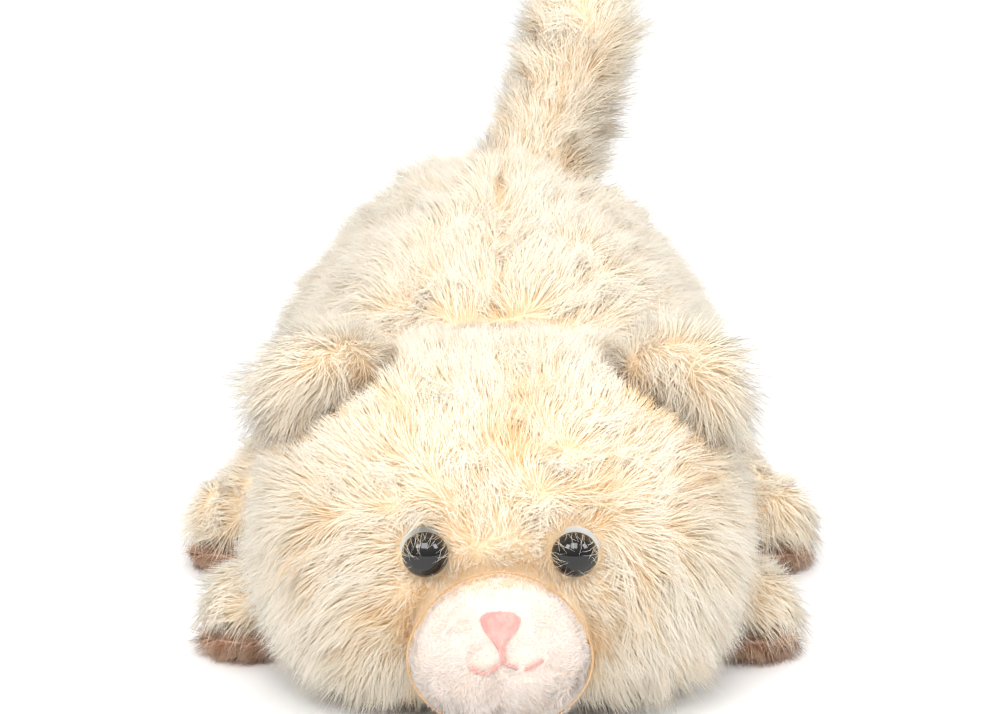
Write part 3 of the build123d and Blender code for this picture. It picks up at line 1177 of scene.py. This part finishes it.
@dataclass
class Muzzle:
    """The velvety muzzle with its seam, embroidered nose and mouth."""

    finishes: Wardrobe
    fuzz_per_mm2: float = 5.0
    fuzz: float = 1.9 * MM
    nose_threads: int = 26
    face_drop: float = 2.0 * MM

    def build(self) -> None:
        """Builds the muzzle and everything stitched to it."""
        low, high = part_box("muzzle_cover")
        self.centre = (np.array(low) + np.array(high)) / 2.0
        self.half = (np.array(high) - np.array(low)) / 2.0
        skin = StuffedSkin(
            "muzzle_skin",
            ["muzzle_cover", "muzzle_stuffing"],
            "head",
            inset=0.7 * MM,
            voxel=2.2 * MM,
            puff=0.5 * MM,
            fill=0.9,
        ).build(self.finishes.velvet, self.dents)
        points = positions(skin.data)
        points[:, 2] += MUZZLE_CROWN * ramp(points[:, 2] - self.centre[2], 0.0, self.half[2])
        set_positions(skin.data, points)
        made = Pile(self.fuzz_per_mm2, 0.17 * MM, seed=31, tuft=1.3 * MM, gather=0.45, curl=0.6).grow(
            "muzzle_fuzz", skin, self.finishes.fuzz, "head", self.groom
        )
        mesh = skin.data
        mesh.calc_loop_triangles()
        corners = [vertex.co[:] for vertex in mesh.vertices]
        tree = BVHTree.FromPolygons(corners, [t.vertices[:] for t in mesh.loop_triangles])
        self.stitch_nose(tree)
        self.stitch_mouth(tree)
        self.stitch_seam()
        LOG.info("muzzle: skin, nose, mouth, seam and %d fibres", made)

    def dents(self, points: np.ndarray, normals: np.ndarray) -> np.ndarray:
        """The cleft under the mouth."""
        x, z = points[:, 0] - self.centre[0], points[:, 2] - self.centre[2]
        cleft = bump_at(x, 0.0, 2.2 * MM) * ramp(z, 1 * MM, -9 * MM) * 1.3 * MM
        return cleft * (points[:, 1] < self.centre[1])

    def groom(self, p: np.ndarray, n: np.ndarray) -> Groom:
        """How the muzzle's fuzz stands: outwards from the nose, longest on the chin."""
        r = p - self.centre
        count = len(p)
        keep = (n[:, 1] < 0.25).astype(float)
        chin = ramp(r[:, 2], -4 * MM, -15 * MM)
        nose = bump_at(np.hypot(r[:, 0], r[:, 2] - 11 * MM), 0.0, 6 * MM) * (r[:, 1] < 0)
        ring = np.hypot(r[:, 0] / self.half[0], r[:, 2] / self.half[2])
        # painted shade at the muzzle's edge, along its seam
        tint = 0.62 + 0.1 * drift(p, 12 * MM, 8)[:, 0] - 0.5 * ramp(ring, 0.93, 1.0)
        return Groom(
            keep=keep,
            length=self.fuzz * (1.0 + 0.9 * chin - 0.55 * nose),
            lean=np.full(count, 0.85),
            flow=unit(r * np.array([1.0, 0.2, 1.0])) + drift(p, 5 * MM, 9) * 0.7,
            tint=tint,
            droop=0.1 + 0.3 * chin,
        )

    def stitch_nose(self, tree: BVHTree) -> None:
        """Sews the nose: satin threads that fan out from its point to its top edge."""
        low, high = (v - Vector((0.0, 0.0, self.face_drop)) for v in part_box("nose_embroidery"))
        rng = np.random.default_rng(41)
        work = Stitching(tree, radius=0.33 * MM)
        half = (high.x - low.x) / 2.0
        middle = (high.x + low.x) / 2.0
        for layer, rise in ((0, 0.55), (1, 0.95)):
            for number in range(self.nose_threads):
                s = -1.0 + 2.0 * (number + 0.5 * layer + 0.25) / self.nose_threads
                top_x = middle + half * s * 0.97
                top_z = high.z - 1.5 * MM * abs(s) ** 3 + rng.normal(0.0, 0.12 * MM)
                foot_x = middle + half * s * 0.24 + rng.normal(0.0, 0.08 * MM)
                foot_z = low.z + (0.2 + 2.6 * abs(s) ** 1.4) * MM * 0.8
                line = []
                for t in np.linspace(0.0, 1.0, 14):
                    bow = math.sin(math.pi * t)
                    x = top_x + (foot_x - top_x) * t**1.25 + 0.35 * MM * s * bow
                    z = top_z + (foot_z - top_z) * t
                    edge = 1.0 - 0.75 * abs(s) ** 4
                    line.append(self.over(work, x, z, rise * MM * edge * min(1.0, 0.15 + 2.4 * bow)))
                work.thread(np.array(line), 0.31 * MM * rng.uniform(0.85, 1.1))
        work.finish("nose_satin_stitch", self.finishes.thread, "head", "nose_embroidery")

    @staticmethod
    def over(work: Stitching, x: float, z: float, rise: float) -> np.ndarray:
        """A point over the muzzle's fuzz roots."""
        return work.on_surface(x, z, rise + 0.35 * MM)

    def stitch_mouth(self, tree: BVHTree) -> None:
        """Sews the mouth: a twisted upright stitch and two short stitches each side."""
        low, high = (v - Vector((0.0, 0.0, self.face_drop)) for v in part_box("mouth_embroidery"))
        nose_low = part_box("nose_embroidery")[0].z - self.face_drop
        work = Stitching(tree, radius=0.42 * MM)
        x, z = (low.x + high.x) / 2.0, high.z
        root = z - 0.6 * MM
        runs = [
            ((x, nose_low + 2.2 * MM), (x + 0.5 * MM, root - 0.3 * MM)),
            ((x + 0.9 * MM, nose_low + 1.9 * MM), (x + 0.8 * MM, root)),
            ((x + 0.2 * MM, root), (x - 3.4 * MM, root - 3.0 * MM)),
            ((x - 3.6 * MM, root - 2.9 * MM), (x - 7.9 * MM, root - 1.4 * MM)),
            ((x + 1.1 * MM, root), (x + 4.3 * MM, root - 1.2 * MM)),
            ((x + 6.2 * MM, root - 2.0 * MM), (x + 10.6 * MM, root + 0.1 * MM)),
        ]
        for (ax, az), (bx, bz) in runs:
            line = []
            for t in np.linspace(0.0, 1.0, 16):
                rise = (0.15 + 0.75 * math.sin(math.pi * t) ** 0.6) * MM
                line.append(self.over(work, ax + (bx - ax) * t, az + (bz - az) * t, rise))
            work.plied(np.array(line), turns=1.6)
        work.finish("mouth_back_stitch", self.finishes.thread, "head", "mouth_embroidery")

    def stitch_seam(self) -> None:
        """Lays the seam round the muzzle, down where it meets the head's pile."""
        any_face = BVHTree.FromPolygons([(0, 0, 0), (1, 0, 0), (0, 0, 1)], [(0, 1, 2)])
        work = Stitching(any_face, radius=0.28 * MM)
        behind = 4.0 * MM
        size = math.sqrt(1.0 - (behind / self.half[1]) ** 2) * 0.995
        line = []
        for angle in np.linspace(-0.42 * math.pi, 1.42 * math.pi, 160):
            across = math.cos(angle) * self.half[0] * size
            up = math.sin(angle) * self.half[2] * size
            up += MUZZLE_CROWN * max(0.0, math.sin(angle)) ** 2
            line.append(self.centre + np.array([across, -behind, up]))
        work.plied(np.array(line), turns=46.0)
        work.finish("muzzle_seam", self.finishes.seam_thread, "head")


@dataclass
class Eyes:
    """Two domed safety eyes, with the pile that strays across them."""

    finishes: Wardrobe
    strays: int = 46
    dome_share: float = 0.435
    stray_width: float = 0.085 * MM

    def build(self) -> None:
        """Dresses the eyes and washers and adds the stray fibres."""
        for side in Side:
            for kind, material in (("eye", self.finishes.eye), ("eye_washer", self.finishes.washer)):
                cad = bpy.data.objects[f"{kind}_{side.word}"]
                cad.data.materials.clear()
                cad.data.materials.append(material)
            self.stray_pile(side)
        LOG.info("eyes: two domes, two washers, %d stray fibres", 2 * self.strays)

    def stray_pile(self, side: Side) -> None:
        """Lays fine fibres from the socket's edge over the dome.

        Args:
            side: Which eye.
        """
        low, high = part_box(f"eye_{side.word}")
        centre, radius = centre_of(f"eye_{side.word}"), (high.x - low.x) / 2.0
        rng = np.random.default_rng(60 + side.value)
        angle = rng.uniform(0.0, 2.0 * math.pi, self.strays)
        angle = np.where(rng.random(self.strays) < 0.55, np.abs(np.sin(angle)) * math.pi, angle)
        reach = rng.uniform(0.15, 0.85, self.strays) * radius
        start = np.stack([np.cos(angle), np.zeros(self.strays), np.sin(angle)], axis=1) * radius * 1.05
        turn = angle + math.pi + rng.normal(0.0, 0.65, self.strays)
        inward = np.stack([np.cos(turn), np.zeros(self.strays), np.sin(turn)], axis=1) * reach[:, None]
        rings = []
        face = np.array([centre[0], 0.0, centre[2]])
        for t in np.linspace(0.0, 1.0, 6):
            waver = rng.normal(0.0, 0.12 * MM, (self.strays, 3)) * np.array([1.0, 0.0, 1.0])
            flat = start + inward * t + waver
            away = np.minimum(np.hypot(flat[:, 0], flat[:, 2]) / radius, 1.0)
            dome = low.y + (high.y - low.y) * self.dome_share * (1.0 - np.sqrt(1.0 - 0.97 * away**2))
            point = face + flat
            point[:, 1] = dome - 0.25 * MM - 0.35 * MM * rng.random(self.strays)
            rings.append(point)
        path = np.array(rings)
        facing = np.tile(np.array([0.0, -1.0, 0.0]), (self.strays, 1))
        thick = np.full(self.strays, self.stray_width)
        tint = np.full(self.strays, 0.6)
        mesh = Pile(1.0, 0.1 * MM, seed=1, segments=5)._mesh(path, facing, thick, tint, rng)
        piece = new_object(f"eye_stray_pile_{side.word}", mesh, self.finishes.coat)
        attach(piece, "head")


@dataclass
class Ear:
    """One ear: an outer and an inner panel turned back over a rim, thickly furred."""

    finishes: Wardrobe
    side: Side
    pile: float = 11.0 * MM
    spread: float = 4.0 * MM

    def build(self) -> None:
        """Builds the ear's skin and pile."""
        body = f"ear_{self.side.word}"
        nodes = [f"{body}_outer", f"{body}_inner"]
        self.centre = centre_of(*nodes)
        skin = StuffedSkin(
            f"{body}_skin", nodes, body, inset=3.0 * MM, voxel=2.8 * MM, puff=0.8 * MM, fill=0.35
        ).build(self.finishes.backing)
        made = Pile(2.6, 0.22 * MM, seed=71 + self.side.value, gather=0.35, curl=0.7, tuft=4.0 * MM).grow(
            f"{body}_pile", skin, self.finishes.coat, body, self.groom
        )
        LOG.info("%s: skin and %d fibres", body, made)

    def groom(self, p: np.ndarray, n: np.ndarray) -> Groom:
        """How the ear's pile stands: out towards its rim, flatter underneath in front, where it is tinted
        warm as painted shade.
        """
        r = p - self.centre
        out = unit(r - np.array([-6.0 * self.side.value, 4.0, -14.0]) * MM)
        under = ramp(r[:, 2], 0.0, -12 * MM) * ramp(-n[:, 1], -0.1, 0.6)
        inner = ramp(-r[:, 0] * self.side.value, 2 * MM, 14 * MM)
        crease = np.maximum(under, 0.7 * inner * ramp(-n[:, 1], 0.0, 0.7))
        rimward = ramp(r[:, 0] * self.side.value, 0.0, 14 * MM)
        return Groom(
            keep=np.ones(len(p)),
            length=(self.pile + self.spread * rimward) * (1.0 - 0.45 * crease),
            lean=0.62 + 0.35 * crease,
            flow=out * 0.55 + np.array([0.45 * self.side.value, -0.3, -0.75]),
            # painted shade in the crease under the ear's front
            tint=0.6 + 0.1 * drift(p, 15 * MM, 6)[:, 1] - 0.36 * crease,
            droop=np.full(len(p), 0.3),
        )


@dataclass
class Trunk:
    """The body: two back panels and a belly over fibre and a pellet pouch, seamed along the spine."""

    finishes: Wardrobe
    pile: float = 10.5 * MM
    seam_depth: float = 3.0 * MM

    def __post_init__(self) -> None:
        """Reads the places the pile follows."""
        self.nodes = ["back_panel_left", "back_panel_right", "belly_panel", "body_stuffing"]
        self.head = centre_of("head_stuffing")
        self.tail = centre_of("tail_stuffing")

    def build(self) -> None:
        """Builds the body's skin and pile."""
        skin = StuffedSkin("body_skin", self.nodes, "trunk", voxel=5.0 * MM).build(
            self.finishes.backing, self.dents
        )
        made = Pile(1.9, 0.25 * MM, seed=21, gather=0.34, curl=0.48, tuft=4.8 * MM).grow(
            "body_pile", skin, self.finishes.coat, "trunk", self.groom
        )
        LOG.info("trunk: skin and %d fibres", made)

    def dents(self, points: np.ndarray, normals: np.ndarray) -> np.ndarray:
        """The groove where the back panels are sewn together."""
        back = ramp(normals[:, 2], 0.0, 0.5)
        return self.seam_depth * bump_at(points[:, 0], 0.0, 4.0 * MM) * back

    def groom(self, p: np.ndarray, n: np.ndarray) -> Groom:
        """How the body's pile stands: back and down, parted along the spine.

        Args:
            p: Where the fibres start.
            n: The skin's normals there.

        Returns:
            The groom.
        """
        top, side = ramp(n[:, 2], 0.2, 0.8), ramp(np.abs(n[:, 0]), 0.3, 0.9)
        flow = np.tile(np.array([0.0, 1.0, -0.15]), (len(p), 1))
        flow = flow + side[:, None] * np.array([0.0, -0.3, -0.75])
        spine = bump_at(p[:, 0], 0.0, 7 * MM) * top
        flow[:, 0] += np.sign(p[:, 0]) * spine * 1.1
        socket = ramp(np.linalg.norm(p - self.head, axis=1), 70 * MM, 63 * MM) * (n[:, 1] < 0.1)
        under = ramp(n[:, 2], -0.45, -0.85)
        near_tail = ramp(np.linalg.norm(p - self.tail, axis=1), 42 * MM, 24 * MM)
        length = self.pile * (1.0 - 0.4 * socket) * (1.0 - 0.6 * under) * (1.0 - 0.25 * near_tail)
        # painted shade: the pile in the groove along the spine seam is tinted warmer
        tint = 0.62 + 0.09 * drift(p, 32 * MM, 7)[:, 2] - 0.16 * bump_at(p[:, 0], 0.0, 3 * MM) * top
        return Groom(
            keep=(1.0 - 0.5 * socket) * (1.0 - 0.5 * under),
            length=length,
            lean=0.8 + 0.35 * under + 0.1 * spine,
            flow=flow,
            tint=tint,
            droop=0.2 + 0.2 * side,
        )


@dataclass
class Neck:
    """The padded neck that the head turns on, almost hidden."""

    finishes: Wardrobe

    def build(self) -> None:
        """Builds the neck's sleeve and its short pile."""
        skin = StuffedSkin(
            "neck_skin",
            ["neck_sleeve", "neck_stuffing"],
            "neck",
            inset=2.0 * MM,
            voxel=3.5 * MM,
            puff=0.4 * MM,
        ).build(self.finishes.backing)
        made = Pile(0.7, 0.4 * MM, seed=51).grow(
            "neck_pile", skin, self.finishes.coat, "neck", self.groom
        )
        LOG.info("neck: skin and %d fibres", made)

    @staticmethod
    def groom(p: np.ndarray, n: np.ndarray) -> Groom:
        """Short pile lying back."""
        count = len(p)
        flow = np.tile(np.array([0.0, 1.0, -0.1]), (count, 1))
        side = (np.abs(n[:, 1]) < 0.75).astype(float)
        full = np.full(count, 1.0)
        return Groom(side, full * 3.5 * MM, full, flow, full * 0.45, full * 0.1)


@dataclass
class Paw:
    """One leg: a stuffed lobe with a brown suede-like patch under its toe."""

    finishes: Wardrobe
    side: Side
    name: str
    pile: float = 8.5 * MM

    def build(self) -> None:
        """Builds the leg's skin, sole patch and pile."""
        body = f"{self.name}_{self.side.word}"
        self.sole_low, self.sole_high = (np.array(v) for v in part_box(f"{body}_sole"))
        nodes = [f"{body}_skin", f"{body}_stuffing"]
        skin = StuffedSkin(
            f"{body}_skin_soft", nodes, body, inset=2.8 * MM, voxel=3.2 * MM, puff=1.0 * MM
        ).build(self.finishes.backing)
        sole = StuffedSkin(
            f"{body}_sole_patch",
            [f"{body}_sole"],
            body,
            inset=0.3 * MM,
            voxel=1.2 * MM,
            puff=0.0,
            fill=0.3,
            relax=2,
        ).build(self.finishes.suede)
        seed = 81 + self.side.value + (4 if self.name == "hind_leg" else 0)
        made = Pile(2.1, 0.24 * MM, seed=seed, gather=0.35, curl=0.5).grow(
            f"{body}_pile", skin, self.finishes.coat, body, self.groom
        )
        Pile(4.0, 0.24 * MM, seed=seed + 10, tuft=1.6 * MM, gather=0.4, curl=0.6).grow(
            f"{body}_sole_nap", sole, self.finishes.nap, body, self.nap
        )
        LOG.info("%s: skin, sole and %d fibres", body, made)

    def groom(self, p: np.ndarray, n: np.ndarray) -> Groom:
        """How the leg's pile stands: outwards and down, trimmed over the sole."""
        flow = np.tile(np.array([0.35 * self.side.value, -0.25, -0.75]), (len(p), 1))
        under = ramp(n[:, 2], -0.3, -0.8)
        above = self.sole_high + np.array([0.0, 0.0, 1.5 * MM])
        inside = np.all((p > self.sole_low - 1.5 * MM) & (p < above), axis=1)
        hem = ramp(p[:, 2], 16 * MM, 7 * MM) * (1.0 - under)
        length = self.pile * (1.0 - 0.3 * under) + 4.5 * MM * hem
        # painted shade near the floor: the pile low on the leg is tinted warmer
        tint = 0.6 + 0.1 * drift(p, 18 * MM, 4)[:, 0] - 0.12 * ramp(p[:, 2], 14 * MM, 4 * MM)
        keep = np.where(inside & (n[:, 2] < 0.1), 0.55, 1.0)
        return Groom(keep, length, 0.8 + 0.2 * under, flow, tint, 0.3 + 0.4 * hem)

    def nap(self, p: np.ndarray, n: np.ndarray) -> Groom:
        """The sole's short nap."""
        count = len(p)
        flow = np.tile(np.array([0.2 * self.side.value, -1.0, 0.2]), (count, 1))
        full = np.full(count, 1.0)
        tint = 0.6 + 0.25 * drift(p, 6 * MM, 3)[:, 0]
        return Groom(full, full * 4.8 * MM, full * 0.5, flow, tint, full * 0.3)


@dataclass
class Tail:
    """The upright tail, its pile lying towards the tip."""

    finishes: Wardrobe
    pile: float = 12.0 * MM

    def build(self) -> None:
        """Builds the tail's skin and pile."""
        self.low, self.high = (np.array(v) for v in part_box("tail_skin"))
        skin = StuffedSkin(
            "tail_skin_soft", ["tail_skin", "tail_stuffing"], "tail", inset=0.8 * MM, voxel=3.2 * MM
        ).build(self.finishes.backing, self.slouch)
        made = Pile(2.3, 0.25 * MM, seed=91, gather=0.35, curl=0.5).grow(
            "tail_pile", skin, self.finishes.coat, "tail", self.groom
        )
        LOG.info("tail: skin and %d fibres", made)

    def groom(self, p: np.ndarray, n: np.ndarray) -> Groom:
        """How the tail's pile stands."""
        height = (p[:, 2] - self.low[2]) / (self.high[2] - self.low[2])
        flow = np.tile(np.array([0.3, 0.12, 1.0]), (len(p), 1))
        tip = ramp(height, 0.75, 1.0)
        lopsided = n[:, 0] * (0.35 - 0.2 * ramp(height, 0.3, 1.0))
        return Groom(
            keep=np.ones(len(p)),
            length=self.pile * (1.0 - 0.25 * ramp(height, 0.3, 0.0) + lopsided),
            lean=0.72 - 0.3 * tip,
            flow=flow,
            # painted shade at the tail's root, where it meets the body: the pile there is tinted warmer
            tint=0.62 + 0.12 * drift(p, 20 * MM, 2)[:, 0] - 0.1 * ramp(height, 0.35, 0.1),
            droop=0.05 + 0.1 * tip,
        )

    def slouch(self, points: np.ndarray, normals: np.ndarray) -> np.ndarray:
        """Shifts the filling to the cat's left, most of all at the tail's root."""
        height = (points[:, 2] - self.low[2]) / (self.high[2] - self.low[2])
        return -normals[:, 0] * (4.5 - 2.5 * height) * MM


@dataclass
class Filling:
    """The pouch of pellets inside the body."""

    finishes: Wardrobe

    def build(self) -> None:
        """Dresses the pouch and the pellets."""
        pouch = StuffedSkin(
            "pellet_pouch_cotton",
            ["pellet_pouch"],
            "trunk",
            inset=0.2 * MM,
            voxel=3.0 * MM,
            puff=0.0,
            fill=0.5,
        ).build(self.finishes.cotton)
        pellets = StuffedSkin(
            "pellet_heap", ["pellet_fill"], "trunk", inset=1.2 * MM, voxel=2.5 * MM, puff=0.0, fill=0.5
        ).build(self.finishes.pellet, self.beads)
        LOG.info("filling: pouch and pellets")

    @staticmethod
    def beads(points: np.ndarray, normals: np.ndarray) -> np.ndarray:
        """The bumps of pellets under one another."""
        return np.abs(drift(points, 4 * MM, 14)[:, 0]) * 0.6 * MM


@dataclass(frozen=True)
class Studio:
    """Floor, light and camera."""

    eye: tuple[float, float, float] = (0.0, -0.9162, 0.3521)
    aim: tuple[float, float, float] = (0.0, -0.0555, 0.089)
    lens: float = 122.03
    sensor: float = 36.0
    world: float = 0.8

    def build(self) -> None:
        """Sets the stage."""
        self.floor()
        self.air()
        self.softbox("key_softbox", (-1.0, -1.25, 1.35), 0.62, 12.0)
        self.softbox("fill_softbox", (1.45, -0.95, 1.3), 0.7, 13.0)
        self.softbox("top_softbox", (0.1, 0.5, 1.7), 1.3, 5.0)
        self.softbox("front_softbox", (-0.1, -1.35, 1.45), 0.9, 19.0)
        self.camera()
        bpy.context.scene.view_settings.view_transform = "Standard"

    def floor(self) -> None:
        """Lays a pale plain floor."""
        mesh = bpy.data.meshes.new("floor")
        wide = 6.0
        corners = [(-wide, -wide, 0), (wide, -wide, 0), (wide, wide, 0), (-wide, wide, 0)]
        mesh.from_pydata(corners, [], [(0, 1, 2, 3)])
        material = bpy.data.materials.new("pale_floor")
        material.use_nodes = True
        shader = material.node_tree.nodes["Principled BSDF"]
        shader.inputs["Base Color"].default_value = (0.93, 0.93, 0.93, 1.0)
        shader.inputs["Roughness"].default_value = 0.95
        shader.inputs["Specular IOR Level"].default_value = 0.1
        new_object("floor", mesh, material)

    def air(self) -> None:
        """Fills the room with soft light: brightest overhead, white where the camera looks past the floor."""
        world = bpy.data.worlds.new("room")
        bpy.context.scene.world = world
        world.use_nodes = True
        r = Recipe(world.node_tree)
        height = r.add("SeparateXYZ", {0: r.add("TexCoord").outputs["Generated"]}).outputs[2]
        sky = r.colours(height, [(0.0, (0.6,) * 3), (0.5, (0.95,) * 3), (1.0, (0.9,) * 3)])
        lit = r.add("Background", {"Color": sky, "Strength": self.world})
        seen = r.add("Background", {"Color": (1, 1, 1, 1), "Strength": 1.0})
        path = r.add("LightPath")
        both = r.add("MixShader", {0: path.outputs["Is Camera Ray"], 1: lit.outputs[0], 2: seen.outputs[0]})
        r.tree.links.new(both.outputs[0], r.add("OutputWorld").inputs[0])

    def softbox(self, name: str, place: tuple[float, float, float], size: float, power: float) -> None:
        """Hangs one square softbox that looks at the cat.

        Args:
            name: Its name.
            place: Where it hangs.
            size: Its side, in metres.
            power: Its power, in watts.
        """
        light = bpy.data.lights.new(name, "AREA")
        light.shape = "SQUARE"
        light.size = size
        light.energy = power
        lamp = bpy.data.objects.new(name, light)
        lamp.location = place
        lamp.rotation_euler = (Vector((0.0, 0.0, 0.05)) - Vector(place)).to_track_quat("-Z", "Y").to_euler()
        bpy.context.scene.collection.objects.link(lamp)

    def camera(self) -> None:
        """Sets the camera."""
        lens = bpy.data.cameras.new("camera")
        lens.lens = self.lens
        lens.sensor_width = self.sensor
        lens.clip_start = 0.05
        made = bpy.data.objects.new("camera", lens)
        made.location = self.eye
        made.rotation_euler = (Vector(self.aim) - Vector(self.eye)).to_track_quat("-Z", "Y").to_euler()
        bpy.context.scene.collection.objects.link(made)
        bpy.context.scene.camera = made


def main() -> None:
    """Builds the cat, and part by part."""
    logging.basicConfig(level=logging.INFO, format="%(message)s")
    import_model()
    Studio().build()
    finishes = Wardrobe()
    Head(finishes).build()
    Muzzle(finishes).build()
    Eyes(finishes).build()
    Neck(finishes).build()
    Trunk(finishes).build()
    Filling(finishes).build()
    for side in Side:
        Ear(finishes, side).build()
        Paw(finishes, side, "front_leg").build()
        Paw(finishes, side, "hind_leg").build()
    Tail(finishes).build()
    bpy.context.view_layer.update()
    LOG.info("size written")


if __name__ == "__main__":
    main()
